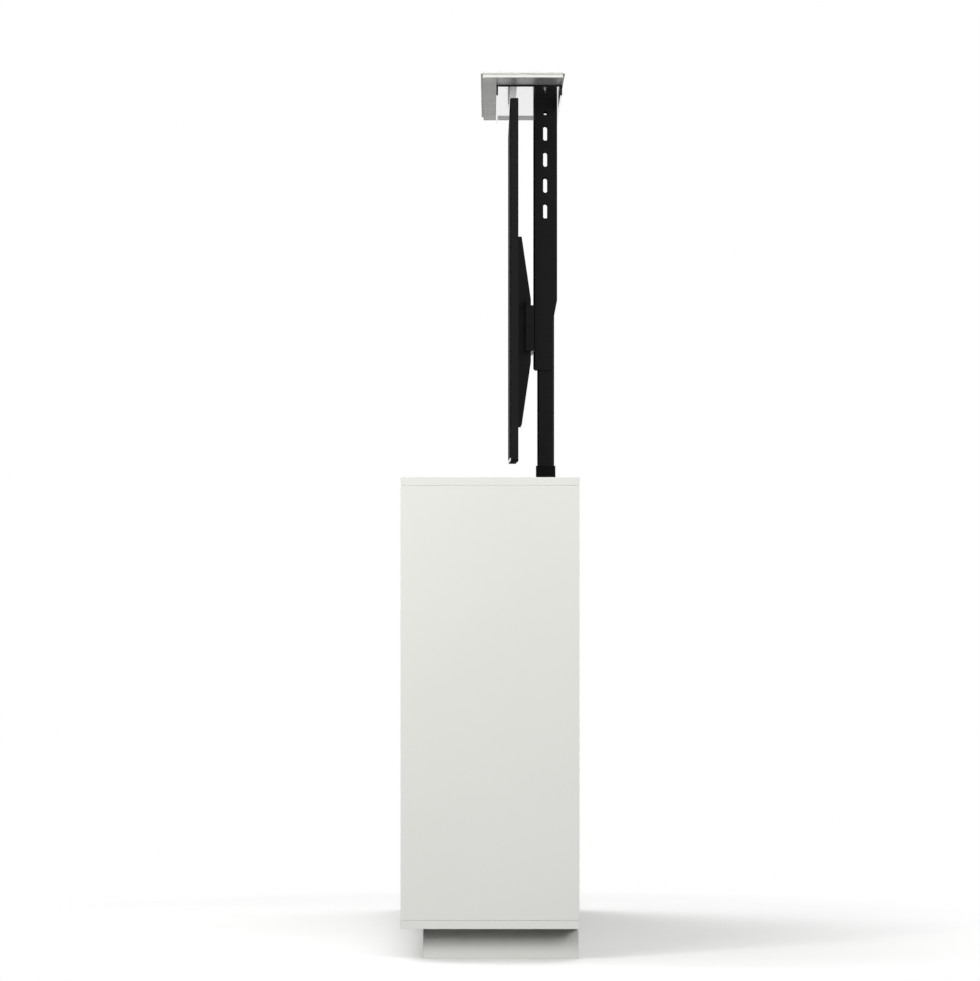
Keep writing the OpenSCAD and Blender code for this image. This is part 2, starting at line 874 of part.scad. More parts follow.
module middle_collar() {
    slide_width = inner_tube_width + 2 * glide_gap;
    slide_depth = inner_tube_depth + 2 * glide_gap;
    color(dark_plastic) difference() {
        union() {
            along_z(mid_tube_top_z, mid_top_z) column_section(mid_width, mid_depth, tube_radius);
            along_z(mid_tube_top_z - collar_skirt, mid_tube_top_z) column_section(
                mid_width - 2 * tube_wall,
                mid_depth - 2 * tube_wall,
                tube_radius - tube_wall
            );
        }
        along_z(mid_tube_top_z - collar_skirt - cut, mid_top_z + cut)
            column_section(slide_width, slide_depth, tube_radius);
    }
}

// Glide band round the foot of a tube that slides in the next one
module glide_band(z_from, width, depth) {
    thickness = stage_gap - glide_gap;
    color(zinc) along_z(z_from, z_from + glide_height)
        column_ring(width + 2 * thickness, depth + 2 * thickness, thickness, tube_radius + thickness);
}

module middle_glide() {
    glide_band(mid_foot_z, mid_width, mid_depth);
}

module middle_foot_plug() {
    color(aluminium) foot_plug(
        mid_foot_z,
        plug_thickness,
        mid_width - 2 * tube_wall,
        mid_depth - 2 * tube_wall,
        drive_radius + bore_gap
    );
}

module drive_nut() {
    color(brass_colour) spindle_ring(drive_nut_z, nut_length, nut_radius, drive_radius + spindle_fit);
}

module thrust_bearing() {
    color(steel) spindle_ring(thrust_z, thrust_thickness, nut_radius, drive_radius + bore_gap);
}

module drive_spindle() {
    color(steel) translate([0, column_y, bearing_z])
        cylinder(h = drive_top_z - bearing_z, r = drive_radius);
}

// Heights of the two flanges that keep the belt on a pulley
module pulley_flange_places() {
    for (z = [pulley_z, pulley_z + pulley_height - pulley_flange])
        translate([0, 0, z]) children();
}

module spindle_pulley() {
    rim = spindle_pulley_radius + pulley_flange_rim;
    color(aluminium) {
        spindle_ring(pulley_z, pulley_height, spindle_pulley_radius, drive_radius);
        pulley_flange_places() spindle_ring(0, pulley_flange, rim, drive_radius);
    }
}

module motor_pulley() {
    rim = motor_pulley_radius + pulley_flange_rim;
    color(aluminium) translate([motor_offset, column_y, 0]) {
        translate([0, 0, pulley_z]) cylinder(h = pulley_height, r = motor_pulley_radius);
        translate([0, 0, pulley_z])
            cylinder(h = column_z + motor_shaft_depth - cut - pulley_z, r = motor_shaft_radius);
        pulley_flange_places() cylinder(h = pulley_flange, r = rim);
    }
}

module hollow_spindle() {
    color(steel) {
        spindle_ring(sleeve_z, sleeve_length, nut_radius + 1, drive_radius + spindle_fit);
        spindle_ring(sleeve_top_z, hollow_top_z - sleeve_top_z, hollow_radius, hollow_bore);
    }
}

module inner_tube() {
    color(black) along_z(inner_foot_z, tube_top_z)
        column_ring(inner_tube_width, inner_tube_depth, tube_wall, tube_radius);
}

module inner_glide() {
    glide_band(inner_foot_z, inner_tube_width, inner_tube_depth);
}

module inner_foot_plug() {
    color(aluminium) foot_plug(
        inner_plug_z,
        inner_plug_thickness,
        inner_tube_width - 2 * tube_wall,
        inner_tube_depth - 2 * tube_wall,
        hollow_radius + bore_gap
    );
}

module top_nut() {
    color(brass_colour)
        spindle_ring(top_nut_z, top_nut_length, top_nut_radius, hollow_radius + spindle_fit);
}

module tube_head_cap() {
    color(dark_plastic) {
        along_z(tube_top_z, tube_top_z + cap_thickness)
            column_section(inner_tube_width, inner_tube_depth, tube_radius);
        along_z(tube_top_z - cap_plug, tube_top_z) column_section(
            inner_tube_width - 2 * tube_wall,
            inner_tube_depth - 2 * tube_wall,
            tube_radius - tube_wall
        );
    }
}

// Bars that join the inner tube to the web and the side walls of the channel
module channel_spacers() {
    inner_half_width = inner_tube_width / 2;
    color(black) {
        for (x = [inner_half_width, -channel_half + channel_sheet])
            block(
                [x, column_y - spacer_half, spacer_low_z],
                [x + channel_half - channel_sheet - inner_half_width, column_y + spacer_half, spacer_top_z]
            );
        block(
            [-inner_half_width / 2, channel_web_y, spacer_low_z],
            [inner_half_width / 2, column_y - inner_tube_depth / 2, spacer_top_z]
        );
    }
}

// Side outline of the lift channel: its rear edge tapers below the mount
module channel_outline() {
    low_rear_y = channel_rear_y - channel_taper_inset;
    corner_y = channel_front_y + channel_corner;
    corner_z = channel_low_z + channel_corner;
    difference() {
        polygon([
            [channel_front_y, channel_low_z],
            [low_rear_y, channel_low_z],
            [low_rear_y, channel_low_z + channel_taper_low],
            [channel_rear_y, channel_low_z + channel_taper_top],
            [channel_rear_y, channel_top_z],
            [channel_front_y, channel_top_z]
        ]);
        difference() {
            rectangle([channel_front_y - cut, channel_low_z - cut], [corner_y, corner_z]);
            translate([corner_y, corner_z]) circle(channel_corner);
        }
    }
}

module channel_section() {
    difference() {
        rounded_rectangle(
            [-channel_half, channel_front_y],
            [channel_half, channel_rear_y + 2 * channel_bend],
            channel_bend
        );
        rounded_rectangle(
            [-channel_half + channel_sheet, channel_web_y],
            [channel_half - channel_sheet, channel_rear_y + 4 * channel_bend],
            channel_bend - channel_sheet
        );
    }
}

// Tab folded inward at the head of one side wall
module channel_tab(side) {
    wall = side * (channel_half - channel_sheet / 2);
    tip = side * (channel_half - tab_reach);
    block(
        [min(wall, tip), column_y - tab_length / 2, channel_top_z - channel_sheet],
        [max(wall, tip), column_y + tab_length / 2, channel_top_z]
    );
}

// Places of the screws through the channel tabs, pointing up into the lid core
module tab_screw_places() {
    reach = channel_half - tab_reach + tab_screw_inset;
    for (x = [-reach, reach], y = [-tab_screw_y, tab_screw_y])
        translate([x, column_y + y, channel_top_z]) children();
}

// Places of the screws that hold the mount rail, pointing back from the rail web
module rail_screw_places() {
    for (x = [-rail_screw_x, rail_screw_x], z = rail_screw_z)
        translate([x, rail_web_y, z]) rotate([-90, 0, 0]) children();
}

module lift_channel() {
    color(black) difference() {
        union() {
            intersection() {
                along_z(channel_low_z, channel_top_z) channel_section();
                along_x(-channel_half, channel_half) channel_outline();
            }
            channel_tab(-1);
            channel_tab(1);
        }
        along_x(-channel_half - cut, channel_half + cut) {
            for (i = [0:3])
                translate([slot_y, channel_top_z - slot_drop - i * slot_pitch])
                    rotate(90) slot_section(slot_length / 2, slot_width / 2);
            translate([slot_y, channel_top_z - hole_drop]) circle(slot_width / 2);
        }
        tab_screw_places() translate([0, 0, -channel_sheet - cut])
            cylinder(h = channel_sheet + 2 * cut, r = small_hole);
        rail_screw_places() cylinder(h = mount_sheet + channel_sheet + cut, r = screw_hole);
    }
}

// Places of the screws that hold the bracket, pointing down from their seats in the lid core
module lid_screw_places() {
    for (x = bracket_screw_x, y = bracket_screw_y)
        translate([x, y, lid_screw_seat_z]) mirror([0, 0, 1]) children();
}

module lid_bracket() {
    color(black) difference() {
        along_x(-bracket_length / 2, bracket_length / 2) {
            rectangle([bracket_front_y, bracket_under_z], [bracket_rear_y, core_under_z]);
            for (y = [bracket_front_y, bracket_rear_y - bracket_sheet])
                rectangle([y, bracket_low_z], [y + bracket_sheet, core_under_z]);
        }
        lid_screw_places() cylinder(h = lid_screw_length + cut, r = small_hole);
        tab_screw_places() translate([0, 0, -cut]) cylinder(h = bracket_sheet + 2 * cut, r = small_hole);
    }
}

module lid_core() {
    color(white) difference() {
        block([-core_half, core_front_y, core_under_z], [core_half, core_rear_y, cover_under_z]);
        lid_screw_places() {
            cylinder(h = lid_screw_length + cut, r = small_hole);
            translate([0, 0, -small_head_height - cut])
                cylinder(h = small_head_height + cut, r = small_head_radius + screw_clearance);
        }
        tab_screw_places() cylinder(h = tab_screw_reach + lid_screw_gap, r = small_hole);
    }
}

module lid_cover() {
    color(white) block(
        [-lid_length / 2, lid_front_y, cover_under_z],
        [lid_length / 2, lid_rear_y, cover_under_z + cover_thickness]
    );
}

module lid_screws() {
    color(black) {
        lid_screw_places() screw_up(small_screw, lid_screw_length, small_head_radius, small_head_height);
        tab_screw_places() translate([0, 0, -channel_sheet])
            screw_up(small_screw, channel_sheet + tab_screw_reach, small_head_radius, small_head_height);
    }
}

// Rail section in Y and Z: a web on the channel and two lips at the front
module rail_section() {
    lip_y = rail_front_y + mount_sheet;
    top_web_z = rail_top_z - mount_sheet;
    low_web_z = rail_low_z + mount_sheet;
    rectangle([rail_web_y, rail_low_z], [channel_front_y, rail_top_z]);
    rectangle([rail_front_y, top_web_z], [channel_front_y, rail_top_z]);
    rectangle([rail_front_y, rail_low_z], [channel_front_y, low_web_z]);
    rectangle([rail_front_y, top_web_z], [lip_y, rail_top_z + rail_lip]);
    rectangle([rail_front_y, rail_low_z], [lip_y, low_web_z + rail_low_lip]);
}

module mount_rail() {
    color(black) difference() {
        along_x(-rail_half, rail_half) rail_section();
        rail_screw_places() translate([0, 0, -cut]) cylinder(h = mount_sheet + 2 * cut, r = screw_hole);
        along_y(rail_web_y - cut, channel_front_y + cut)
            for (side = [-1, 1], i = [1, 2])
                translate([side * (rail_half - (i - 0.5) * rail_slot_pitch), rail_centre_z])
                    slot_section(rail_slot_half, rail_slot_radius);
    }
}

module rail_screws() {
    color(zinc) rail_screw_places()
        screw_up(screw_radius, mount_sheet + channel_sheet, screw_head_radius, screw_head_height);
}

// Caps on the rail ends, each with a slanted latch groove
module rail_end_cap(side) {
    outer = side * (rail_half + end_cap_thickness);
    inner = side * rail_half;
    groove = outer - side * end_cap_thickness / 2;
    clear = outer + side * cut;
    difference() {
        along_x(min(outer, inner), max(outer, inner))
            rectangle([rail_front_y, rail_low_z], [channel_front_y, rail_top_z]);
        along_x(min(groove, clear), max(groove, clear))
            translate([rail_front_y + rail_depth / 3, rail_centre_z])
                rotate(latch_angle) square([latch_width, latch_length], center = true);
    }
}

module rail_end_caps() {
    color(dark_plastic) {
        rail_end_cap(-1);
        rail_end_cap(1);
    }
}

// Side outline of a mount arm, notched to hook over the rail lip
module arm_outline() {
    hook_y = rail_front_y + mount_sheet + hook_gap;
    difference() {
        polygon([
            [tv_back_y, vesa_z - arm_half_length],
            [tv_back_y + arm_end_depth, vesa_z - arm_half_length],
            [arm_rear_y, vesa_z - arm_low_flat],
            [arm_rear_y, vesa_z + arm_high_flat],
            [tv_back_y + arm_end_depth, vesa_z + arm_half_length],
            [tv_back_y, vesa_z + arm_half_length]
        ]);
        rectangle(
            [rail_front_y - hook_gap, rail_low_z - hook_gap],
            [arm_rear_y + cut, rail_top_z + hook_gap]
        );
        rectangle([rail_front_y - hook_gap, rail_top_z], [hook_y, rail_top_z + rail_lip]);
    }
}

// Places of the four television screws, pointing forward from the arm flange
module vesa_screw_places(sides) {
    for (side = sides, z = [vesa_z - vesa_pitch / 2, vesa_z + vesa_pitch / 2])
        translate([side * arm_x, tv_back_y + mount_sheet, z]) rotate([90, 0, 0]) children();
}

module tv_arm(side) {
    left = side * arm_x - arm_width / 2;
    right = side * arm_x + arm_width / 2;
    low = vesa_z - arm_half_length;
    high = vesa_z + arm_half_length;
    color(black) difference() {
        union() {
            block([left, tv_back_y, low], [right, tv_back_y + mount_sheet, high]);
            along_x(left, left + mount_sheet) arm_outline();
            along_x(right - mount_sheet, right) arm_outline();
        }
        vesa_screw_places([side]) translate([0, 0, -cut])
            cylinder(h = mount_sheet + 2 * cut, r = screw_hole);
        along_y(tv_back_y - cut, tv_back_y + mount_sheet + cut)
            for (i = [-3:3])
                translate([side * arm_x, vesa_z + i * vesa_pitch / 8])
                    rotate(90) slot_section(arm_slot_half, screw_hole);
    }
}

module tv_arm_left() {
    tv_arm(-1);
}

module tv_arm_right() {
    tv_arm(1);
}

module vesa_screws() {
    color(zinc) vesa_screw_places([-1, 1])
        screw_up(screw_radius, mount_sheet + vesa_screw_depth, screw_head_radius, screw_head_height);
}

module tv_housing() {
    color(black) difference() {
        along_y(tv_face_y, tv_back_y)
            rounded_rectangle([-tv_half, tv_low_z], [tv_half, tv_top_z], tv_corner);
        vesa_screw_places([-1, 1])
            cylinder(h = mount_sheet + vesa_screw_depth + vesa_screw_gap, r = screw_hole);
        along_y(tv_back_y - seam_depth, tv_back_y + cut) difference() {
            rounded_rectangle(
                [-tv_half + seam_inset, tv_low_z + seam_inset],
                [tv_half - seam_inset, tv_top_z - seam_inset],
                tv_corner
            );
            rounded_rectangle(
                [-tv_half + seam_inset + seam_width, tv_low_z + seam_inset + seam_width],
                [tv_half - seam_inset - seam_width, tv_top_z - seam_inset - seam_width],
                tv_corner - seam_width
            );
        }
        along_y(tv_back_y - vent_depth, tv_back_y + cut)
            for (i = [-vent_count:vent_count])
                translate([i * vent_pitch, vent_z])
                    rectangle([-vent_width / 2, 0], [vent_width / 2, vent_height]);
        along_y(tv_back_y - port_depth, tv_back_y + cut)
            rounded_rectangle([port_x, port_z], [port_x + port_length, port_z + port_height], port_corner);
        cover_screw_places() {
            cylinder(h = cover_screw_length + cut, r = cover_screw_radius + screw_clearance);
            translate([0, 0, -cover_screw_pocket - cut])
                cylinder(h = cover_screw_pocket + cut, r = cover_head_radius + screw_clearance);
        }
    }
}

// Places of the screws that hold the television's rear cover, pointing forward from their seats
module cover_screw_places() {
    reach = tv_half - cover_screw_inset;
    for (share = [-1, -1 / 3, 1 / 3, 1], z = [tv_low_z + cover_screw_inset, tv_top_z - cover_screw_inset])
        translate([share * reach, tv_back_y - cover_screw_pocket, z]) rotate([90, 0, 0])
            children();
}

module tv_cover_screws() {
    color(black) cover_screw_places() {
        cylinder(h = cover_screw_length, r = cover_screw_radius);
        translate([0, 0, -cover_head_height]) cylinder(h = cover_head_height, r = cover_head_radius);
    }
}

// Plate with the sockets, let into the television's rear cover
module tv_port_plate() {
    low = tv_back_y - port_depth;
    high = low + port_plate;
    color(dark_plastic) difference() {
        along_y(low, high)
            rounded_rectangle([port_x, port_z], [port_x + port_length, port_z + port_height], port_corner);
        along_y(high - socket_depth, high + cut)
            for (i = [0:socket_count - 1])
                translate([port_x + (i + 0.5) * port_length / socket_count, port_z + port_height / 2])
                    square([socket_width, socket_height], center = true);
    }
}

module tv_screen() {
    color(screen_colour) along_y(tv_front_y, tv_face_y) rounded_rectangle(
        [-tv_half + screen_margin, tv_low_z + trim_height + screen_margin],
        [tv_half - screen_margin, tv_top_z - screen_margin],
        tv_corner - screen_margin
    );
}

module tv_bottom_trim() {
    color(zinc) along_y(tv_front_y, tv_face_y) rectangle(
        [-tv_half + tv_corner, tv_low_z],
        [tv_half - tv_corner, tv_low_z + trim_height]
    );
}

plinth_front();
plinth_rear();
plinth_ends();
bottom_panel();
side_panel_left();
side_panel_right();
top_panel();
front_panel();
back_panel();
cable_grommet();
rear_board();
foot_plate();
foot_bolts();
drive_housing();
drive_housing_cover();
spindle_bearing();
gearbox();
gear_motor();
drive_belt();
control_box();
control_box_cover();
outer_tube();
flange_bolts();
outer_collar();
column_clamp();
clamp_screws();
middle_tube();
middle_collar();
middle_glide();
middle_foot_plug();
drive_nut();
thrust_bearing();
drive_spindle();
spindle_pulley();
motor_pulley();
hollow_spindle();
inner_tube();
inner_glide();
inner_foot_plug();
top_nut();
tube_head_cap();
channel_spacers();
lift_channel();
lid_bracket();
lid_core();
lid_cover();
lid_screws();
mount_rail();
rail_screws();
rail_end_caps();
tv_arm_left();
tv_arm_right();
vesa_screws();
tv_housing();
tv_screen();
tv_bottom_trim();
tv_cover_screws();
tv_port_plate();
back_panel_screws();
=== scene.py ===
import json
import math

import bpy
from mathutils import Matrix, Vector


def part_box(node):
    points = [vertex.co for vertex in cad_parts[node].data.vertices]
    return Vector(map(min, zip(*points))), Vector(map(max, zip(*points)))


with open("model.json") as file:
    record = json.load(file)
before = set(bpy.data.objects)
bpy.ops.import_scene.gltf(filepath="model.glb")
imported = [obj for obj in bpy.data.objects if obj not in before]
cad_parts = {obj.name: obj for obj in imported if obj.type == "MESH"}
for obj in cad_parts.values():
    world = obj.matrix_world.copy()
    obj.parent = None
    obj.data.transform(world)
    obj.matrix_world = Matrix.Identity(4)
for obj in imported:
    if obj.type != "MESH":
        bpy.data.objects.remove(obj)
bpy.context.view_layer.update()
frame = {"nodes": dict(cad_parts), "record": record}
nodes = frame["nodes"]
slot_of = {part["node"]: part["material_slot"] for part in frame["record"]["subparts"]}

# The lift's column stands at x = 0, round the axis of its spindles
spindle_low, spindle_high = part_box("drive_spindle")
column_y = (spindle_low.y + spindle_high.y) / 2


# Node trees

# Most of a noise texture lies between these values
NOISE_LOW = 0.3
NOISE_HIGH = 0.7


def add(tree, kind, inputs=None, **settings):
    """A shader node with its settings made and its inputs set or linked."""
    node = tree.nodes.new("ShaderNode" + kind)
    for name, value in settings.items():
        setattr(node, name, value)
    for name, value in (inputs or {}).items():
        if isinstance(value, bpy.types.NodeSocket):
            tree.links.new(value, node.inputs[name])
        else:
            node.inputs[name].default_value = value
    return node


def maths(tree, operation, first, second):
    """One operation on two values or sockets."""
    return add(tree, "Math", {0: first, 1: second}, operation=operation).outputs[0]


def noise(tree, place, scale, detail, stretch=(1, 1, 1)):
    """Noise with scale in cycles per metre of the piece, drawn out where stretch is low."""
    mapped = add(tree, "Mapping", {"Vector": place, "Scale": stretch})
    inputs = {"Vector": mapped.outputs[0], "Scale": scale, "Detail": detail}
    return add(tree, "TexNoise", inputs).outputs["Fac"]


def spread(tree, value, low, high, start=NOISE_LOW, end=NOISE_HIGH):
    """A value that runs from low to high as another runs from start to end."""
    inputs = {"Value": value, "From Min": start, "From Max": end, "To Min": low, "To Max": high}
    return add(tree, "MapRange", inputs).outputs["Result"]


def ramp(tree, value, low, high):
    """0 at low and 1 at high, eased at both ends."""
    inputs = {"Value": value, "From Min": low, "From Max": high, "To Min": 0.0, "To Max": 1.0}
    return add(tree, "MapRange", inputs, interpolation_type="SMOOTHSTEP").outputs["Result"]


def tones(tree, value, *colours):
    """Colours spaced evenly over the middle of a noise value."""
    blend = add(tree, "ValToRGB", {"Fac": value})
    elements = blend.color_ramp.elements
    while len(elements) < len(colours):
        elements.new(0.5)
    step = (NOISE_HIGH - NOISE_LOW) / (len(colours) - 1)
    for i, colour in enumerate(colours):
        elements[i].position = NOISE_LOW + step * i
        elements[i].color = (*colour, 1)
    return blend.outputs["Color"]


def bump(tree, height, strength, distance):
    """The normal of a relief that is distance metres high."""
    inputs = {"Strength": strength, "Distance": distance, "Height": height}
    return add(tree, "Bump", inputs).outputs["Normal"]


def new_material(name):
    """An empty material, its node tree and the place on the piece in metres."""
    material = bpy.data.materials.new(name)
    material.use_nodes = True
    tree = material.node_tree
    tree.nodes.clear()
    return material, tree, add(tree, "TexCoord").outputs["Object"]


def shade(tree, inputs):
    """The shader and output of a material."""
    shader = add(tree, "BsdfPrincipled", inputs)
    add(tree, "OutputMaterial", {"Surface": shader.outputs["BSDF"]})


# Finishes

# Wear is finer than the mottle of the colour by this factor
WEAR_FINENESS = 2.3
RELIEF_HEIGHT = 0.0004
FIBRE_HEIGHT = 0.0005
# The normal's Z from faces that look down to faces that don't
DOWNWARD = (-0.9, -0.5)

# A thread's flank and depth as shares of its pitch, and its scratches as a share of its depth
THREAD_FLANK = (0.14, 0.36)
THREAD_DEPTH = 0.3
SCRATCH_DEPTH = 0.02
STEEL_TONES = ((0.52, 0.53, 0.55), (0.60, 0.61, 0.63))


def surface(name, colours, rough, mottle, grain, relief, stretch=(1, 1, 1), underside=None, **shader):
    """A finish with mottled colour, uneven roughness and a fine relief.

    mottle and grain are noise scales. Where underside is given, faces that look down are as rough as that.
    """
    material, tree, place = new_material(name)
    colour = noise(tree, place, mottle, detail=4.0, stretch=stretch)
    wear = noise(tree, place, mottle * WEAR_FINENESS, detail=3.0, stretch=stretch)
    height = noise(tree, place, grain, detail=2.0, stretch=stretch)
    roughness = spread(tree, wear, *rough)
    if underside:
        normal = add(tree, "NewGeometry").outputs["True Normal"]
        facing = add(tree, "SeparateXYZ", {0: normal}).outputs["Z"]
        roughness = maths(tree, "MAXIMUM", roughness, spread(tree, facing, underside, 0.0, *DOWNWARD))
    inputs = {
        "Base Color": tones(tree, colour, *colours),
        "Roughness": roughness,
        "Normal": bump(tree, height, relief, RELIEF_HEIGHT),
    }
    inputs.update({socket.replace("_", " "): value for socket, value in shader.items()})
    shade(tree, inputs)
    return material


def timber(name):
    """Planed softwood with its grain along X."""
    material, tree, place = new_material(name)
    rings = noise(tree, place, scale=26.0, detail=5.0, stretch=(0.08, 1.4, 1))
    fibre = noise(tree, place, scale=520.0, detail=3.0, stretch=(0.03, 1, 1))
    inputs = {
        "Base Color": tones(tree, rings, (0.60, 0.41, 0.22), (0.72, 0.53, 0.31), (0.66, 0.46, 0.25)),
        "Roughness": spread(tree, fibre, 0.5, 0.68),
        "Normal": bump(tree, fibre, 0.25, FIBRE_HEIGHT),
    }
    shade(tree, inputs)
    return material


def threaded(name, pitch, starts):
    """Bright steel with a screw thread round the column's axis."""
    material, tree, place = new_material(name)
    x, y, z = add(tree, "SeparateXYZ", {0: place}).outputs
    turn = maths(tree, "ARCTAN2", maths(tree, "SUBTRACT", y, column_y), x)
    rise = maths(tree, "DIVIDE", z, pitch)
    phase = maths(tree, "SUBTRACT", rise, maths(tree, "MULTIPLY", turn, starts / math.tau))
    flank = ramp(tree, maths(tree, "PINGPONG", phase, 0.5), *THREAD_FLANK)
    scratch = noise(tree, place, scale=900.0, detail=2.0, stretch=(1, 1, 6))
    height = maths(tree, "ADD", flank, maths(tree, "MULTIPLY", scratch, SCRATCH_DEPTH))
    inputs = {
        "Base Color": tones(tree, scratch, *STEEL_TONES),
        "Roughness": spread(tree, scratch, 0.2, 0.32),
        "Metallic": 1.0,
        "Normal": bump(tree, height, 1.0, THREAD_DEPTH * pitch),
    }
    shade(tree, inputs)
    return material


LACQUER = {
    "colours": ((0.8, 0.8, 0.77), (0.82, 0.82, 0.793)),
    "mottle": 2.2,
    "grain": 700.0,
    "relief": 0.02,
}
FINISHES = {
    "white_lacquer": dict(LACQUER, rough=(0.5, 0.58), Specular_IOR_Level=0.24),
    "plinth_lacquer": dict(LACQUER, rough=(0.5, 0.58), Specular_IOR_Level=0.06),
    "core_lacquer": dict(LACQUER, rough=(0.26, 0.31), Specular_IOR_Level=0.037),
    "black_steel": dict(
        colours=((0.0032, 0.0032, 0.0034), (0.0048, 0.0048, 0.005)), rough=(0.3, 0.4),
        mottle=9.0, grain=1500.0, relief=0.12, Specular_IOR_Level=0.175,
    ),
    "bracket_black": dict(
        colours=((0.003, 0.003, 0.0032), (0.0042, 0.0042, 0.0044)), rough=(0.1, 0.13),
        mottle=7.0, grain=1200.0, relief=0.004,
        IOR=1.25, Coat_Weight=1.0, Coat_Roughness=0.08, Coat_IOR=1.25,
    ),
    "cap_black": dict(
        colours=((0.004, 0.004, 0.0042), (0.006, 0.006, 0.0062)), rough=(0.34, 0.44),
        mottle=16.0, grain=2200.0, relief=0.1, Specular_IOR_Level=0.175,
    ),
    "black_plastic": dict(
        colours=((0.0015, 0.0015, 0.0017), (0.003, 0.003, 0.0033)), rough=(0.5, 0.62),
        mottle=14.0, grain=2200.0, relief=0.1, Specular_IOR_Level=0.11,
    ),
    "belt_rubber": dict(
        colours=((0.008, 0.008, 0.008), (0.014, 0.014, 0.014)), rough=(0.6, 0.75),
        mottle=30.0, grain=900.0, relief=0.3,
    ),
    "white_plastic": dict(
        colours=((0.72, 0.72, 0.69), (0.78, 0.78, 0.75)), rough=(0.35, 0.45),
        mottle=20.0, grain=1200.0, relief=0.05,
    ),
    "zinc_steel": dict(
        colours=((0.52, 0.53, 0.55), (0.64, 0.65, 0.66)), rough=(0.24, 0.4),
        mottle=60.0, grain=1800.0, relief=0.06, Metallic=1.0,
    ),
    "black_screws": dict(
        colours=((0.012, 0.012, 0.013), (0.022, 0.022, 0.023)), rough=(0.35, 0.5),
        mottle=50.0, grain=1800.0, relief=0.08, Metallic=1.0,
    ),
    "cast_aluminium": dict(
        colours=((0.52, 0.53, 0.55), (0.62, 0.63, 0.65)), rough=(0.38, 0.55),
        mottle=25.0, grain=1300.0, relief=0.2, Metallic=1.0,
    ),
    "bright_steel": dict(
        colours=STEEL_TONES, rough=(0.2, 0.32),
        mottle=40.0, grain=900.0, relief=0.06, stretch=(1, 1, 6), Metallic=1.0,
    ),
    "nut_brass": dict(
        colours=((0.62, 0.44, 0.16), (0.72, 0.54, 0.24)), rough=(0.25, 0.38),
        mottle=50.0, grain=900.0, relief=0.06, stretch=(1, 1, 9), Metallic=1.0,
    ),
    "tv_plastic": dict(
        colours=((0.0055, 0.0055, 0.0057), (0.007, 0.007, 0.0073)), rough=(0.1, 0.13),
        mottle=6.0, grain=1900.0, relief=0.015, underside=0.8, Specular_IOR_Level=0.14,
    ),
    "tv_glass": dict(
        colours=((0.0015, 0.0015, 0.002), (0.003, 0.003, 0.0036)), rough=(0.62, 0.7),
        mottle=3.0, grain=60.0, relief=0.004, Specular_IOR_Level=0.03,
    ),
    "silver_trim": dict(
        colours=((0.58, 0.59, 0.61), (0.68, 0.69, 0.70)), rough=(0.25, 0.36),
        mottle=30.0, grain=1500.0, relief=0.08, stretch=(0.02, 1, 1), Metallic=1.0,
    ),
}
finishes = {name: surface(name, **look) for name, look in FINISHES.items()}
finishes["pine_board"] = timber("pine_board")
finishes["drive_thread"] = threaded("drive_thread", pitch=0.004, starts=4)
finishes["hollow_thread"] = threaded("hollow_thread", pitch=0.005, starts=4)

# Nodes whose finish isn't the one named by their material slot
OWN_FINISH = {
    "plinth_front": "plinth_lacquer",
    "plinth_rear": "plinth_lacquer",
    "plinth_ends": "plinth_lacquer",
    "lid_core": "core_lacquer",
    "lid_bracket": "bracket_black",
    "rail_end_caps": "cap_black",
    "drive_spindle": "drive_thread",
    "hollow_spindle": "hollow_thread",
}
for name, piece in nodes.items():
    piece.data.materials.clear()
    piece.data.materials.append(finishes[OWN_FINISH.get(name, slot_of[name])])


# Softened edges

BOARD_EDGE = 0.0009
THIN_EDGE = 0.0003
WELD_DISTANCE = 0.00001
FLAT_ANGLE = math.radians(1)
SHARP_ANGLE = math.radians(50)


def soften(names, width):
    """Small rounded edges on plain-sided pieces."""
    for name in names.split():
        piece = nodes[name]
        weld = piece.modifiers.new("weld", "WELD")
        weld.merge_threshold = WELD_DISTANCE
        merge = piece.modifiers.new("merge", "DECIMATE")
        merge.decimate_type = "DISSOLVE"
        merge.angle_limit = FLAT_ANGLE
        bevel = piece.modifiers.new("edges", "BEVEL")
        bevel.width = width
        bevel.segments = 2
        bevel.limit_method = "ANGLE"
        bevel.angle_limit = SHARP_ANGLE


soften("plinth_front plinth_rear plinth_ends bottom_panel", BOARD_EDGE)
soften("side_panel_left side_panel_right lid_core lid_cover", THIN_EDGE)
soften("top_panel front_panel back_panel rear_board", BOARD_EDGE)


# Stage

WHITE = (1, 1, 1, 1)

# Soft lights of the room: azimuth from +X, elevation, reach in degrees and strength
ROOM_LIGHTS = (
    (225, 30, 32, 2.5),
    (135, 58, 32, 2.0),
    (225, 58, 32, 1.48),
    (0, 30, 32, 1.21),
    (180, 30, 32, 0.34),
    (45, 30, 32, 0.21),
    (270, 65, 16, 1.48),
    (180, 4, 28, 1.27),
)
# A soft light is at its full strength within this share of its reach
FULL_SHARE = 0.3
ROOM_STRENGTH = 0.01

# Area lamps: name, place, width, height and power in watts
LAMPS = (
    ("side_left", (3.2, -2.4, 2.6), 0.8, 1.3, 56.5),
    ("front_left", (3.6, -1.5, 2.2), 0.8, 1.5, 29.0),
    ("side_right", (5.4, 4.4, 3.4), 1.6, 2.8, 195.0),
)
LAMP_AIM = Vector((0.8, 0, 0.8))
LAMP_COLOUR = (1.0, 0.995, 0.98)

FLOOR_SIZE = 24
# Distances from the origin at which the floor starts to fade and is white
FLOOR_FADE = (1.05, 1.6)

# The camera's place and reach are in metres, its lens and sensor in millimetres
VIEW_PLACE = (13.78, 0, 1.059)
VIEW_LENS = 211.78
VIEW_SENSOR = 36
VIEW_REACH = 200


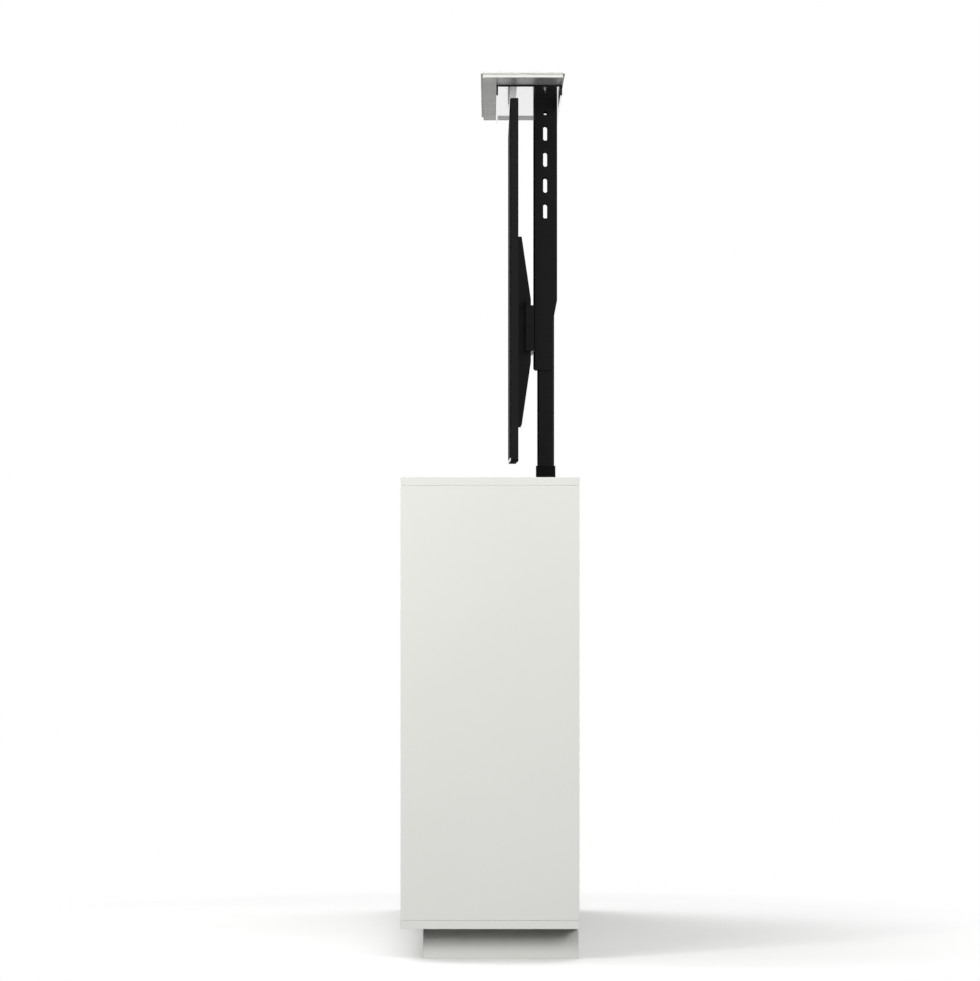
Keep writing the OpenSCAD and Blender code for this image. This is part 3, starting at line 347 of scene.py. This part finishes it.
def looked_at(tree):
    """1 for the rays that show the background: the camera's own, and what it sees in gloss and glass."""
    path = add(tree, "LightPath").outputs
    followed = maths(tree, "MAXIMUM", path["Is Glossy Ray"], path["Is Transmission Ray"])
    clear = maths(tree, "LESS_THAN", path["Diffuse Depth"], 0.5)
    return maths(tree, "MAXIMUM", path["Is Camera Ray"], maths(tree, "MULTIPLY", followed, clear))


def room_light(tree, direction, azimuth, elevation, reach, strength):
    """The strength of one soft light in a direction."""
    turn = math.radians(azimuth)
    lift = math.radians(elevation)
    edge = math.cos(math.radians(reach))
    full = math.cos(math.radians(FULL_SHARE * reach))
    axis = (math.cos(lift) * math.cos(turn), math.cos(lift) * math.sin(turn), math.sin(lift))
    facing = add(tree, "VectorMath", {0: direction, 1: axis}, operation="DOT_PRODUCT").outputs["Value"]
    return maths(tree, "MULTIPLY", ramp(tree, facing, edge, full), strength)


def studio_light():
    """White where it is looked at, and to other rays a dim room with soft lights."""
    world = bpy.data.worlds.new("studio")
    world.use_nodes = True
    bpy.context.scene.world = world
    tree = world.node_tree
    tree.nodes.clear()
    direction = add(tree, "TexCoord").outputs["Generated"]
    total = ROOM_STRENGTH
    for light in ROOM_LIGHTS:
        total = maths(tree, "ADD", room_light(tree, direction, *light), total)
    room = add(tree, "Background", {"Color": WHITE, "Strength": total})
    white = add(tree, "Background", {"Color": WHITE, "Strength": 1.0})
    mixed = add(tree, "MixShader", {0: looked_at(tree), 1: room.outputs[0], 2: white.outputs[0]})
    add(tree, "OutputWorld", {"Surface": mixed.outputs[0]})


def studio_floor():
    """A pale floor that keeps the shadow, fades to white away from it and throws little light back."""
    bpy.ops.mesh.primitive_plane_add(size=FLOOR_SIZE, location=(0, 0, 0))
    floor = bpy.context.object
    floor.name = "studio_floor"
    material, tree, place = new_material("studio_floor")
    speckle = noise(tree, place, scale=3.0, detail=3.0)
    pale = tones(tree, speckle, (0.92, 0.92, 0.92), (0.93, 0.93, 0.93))
    dark = tones(tree, speckle, (0.07, 0.07, 0.07), (0.09, 0.09, 0.09))
    paint = add(tree, "BsdfDiffuse", {"Color": pale})
    dim = add(tree, "BsdfDiffuse", {"Color": dark})
    white = add(tree, "Emission", {"Color": WHITE, "Strength": 1.0})
    distance = add(tree, "VectorMath", {0: place}, operation="LENGTH").outputs["Value"]
    fade = ramp(tree, distance, *FLOOR_FADE)
    seen = add(tree, "MixShader", {0: fade, 1: paint.outputs[0], 2: white.outputs[0]})
    mixed = add(tree, "MixShader", {0: looked_at(tree), 1: dim.outputs[0], 2: seen.outputs[0]})
    add(tree, "OutputMaterial", {"Surface": mixed.outputs[0]})
    floor.data.materials.append(material)


def lamp(name, place, width, height, power):
    """A rectangular area lamp that points at the near end of the cabinet."""
    data = bpy.data.lights.new(name, "AREA")
    data.shape = "RECTANGLE"
    data.size = width
    data.size_y = height
    data.energy = power
    data.color = LAMP_COLOUR
    made = bpy.data.objects.new(name, data)
    made.location = place
    made.rotation_euler = (LAMP_AIM - Vector(place)).to_track_quat("-Z", "Y").to_euler()
    bpy.context.scene.collection.objects.link(made)


def photo_view():
    """The camera at the photograph's viewing angle, level and looking along -X."""
    camera = bpy.data.cameras.new("photo_view")
    camera.sensor_fit = "HORIZONTAL"
    camera.sensor_width = VIEW_SENSOR
    camera.lens = VIEW_LENS
    camera.clip_end = VIEW_REACH
    viewer = bpy.data.objects.new("photo_view", camera)
    viewer.location = VIEW_PLACE
    viewer.rotation_euler = (math.radians(90), 0, math.radians(90))
    bpy.context.scene.collection.objects.link(viewer)
    bpy.context.scene.camera = viewer


studio_light()
studio_floor()
for row in LAMPS:
    lamp(*row)
photo_view()
bpy.context.scene.view_settings.view_transform = "Standard"
